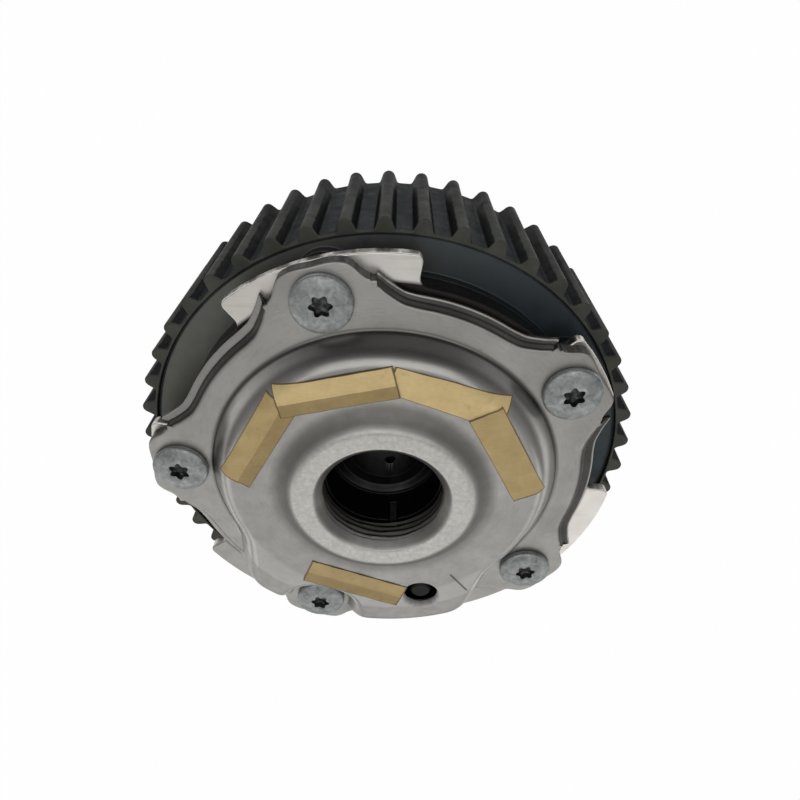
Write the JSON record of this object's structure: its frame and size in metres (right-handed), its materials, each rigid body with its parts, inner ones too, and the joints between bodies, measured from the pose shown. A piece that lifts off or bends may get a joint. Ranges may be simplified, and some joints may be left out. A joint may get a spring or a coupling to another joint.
{
  "type": "cam phaser",
  "caption": "Round belt-driven cam phaser: toothed pulley with an inner stator, vane rotor on a camshaft bore, trigger wheel and domed front cover with a threaded neck.",
  "frame": {"origin": "middle of the rear plate's rear face, on the camshaft axis", "axes": "+Z along the camshaft axis, out of the front cover; -Y towards the side that faces the viewer"},
  "size_m": [0.1158, 0.1156, 0.0522],
  "materials": {
    "sintered_steel": "matte",
    "machined_steel": "satin",
    "dark_steel": "satin",
    "bright_sheet": "satin",
    "pressed_sheet": "satin",
    "zinc_plated": "satin",
    "spring_steel": "satin",
    "seal_rubber": "matte",
    "masking_tape": "matte"
  },
  "bodies": {
    "housing": {"pulley_housing": "sintered_steel", "rear_plate": "machined_steel", "rear_seal": "seal_rubber", "front_plate": "dark_steel", "plate_seal": "seal_rubber", "trigger_wheel": "bright_sheet", "return_spring": "spring_steel", "spring_pin": "machined_steel", "front_cover": "pressed_sheet", "cover_screws": "zinc_plated", "tape_1": "masking_tape", "tape_2": "masking_tape", "tape_3": "masking_tape", "tape_4": "masking_tape", "tape_5": "masking_tape"},
    "rotor": {"rotor": "machined_steel", "vane_1": "machined_steel", "vane_2": "machined_steel", "vane_3": "machined_steel", "vane_4": "machined_steel", "vane_5": "machined_steel", "vane_spring_1": "spring_steel", "vane_spring_2": "spring_steel", "vane_spring_3": "spring_steel", "vane_spring_4": "spring_steel", "vane_spring_5": "spring_steel", "lock_pin_spring": "spring_steel", "lock_pin_cap": "machined_steel"},
    "lock_pin": {"lock_pin": "machined_steel"}
  },
  "joints": [
    {"name": "rotor_phase", "type": "hinge", "parent": "housing", "child": "rotor", "pos_m": [0, 0, 0.02], "axis": [0, 0, 1], "range_deg": [0, 30], "stiffness_Nm_per_rad": 0.5, "springref_deg": -17.19, "deforming": ["return_spring"]},
    {"name": "lock_pin_slide", "type": "slide", "parent": "rotor", "child": "lock_pin", "axis": [0, 0, 1], "range_m": [0, 0.004], "stiffness_N_per_m": 300, "springref_m": -0.004, "deforming": ["lock_pin_spring"]}
  ]
}
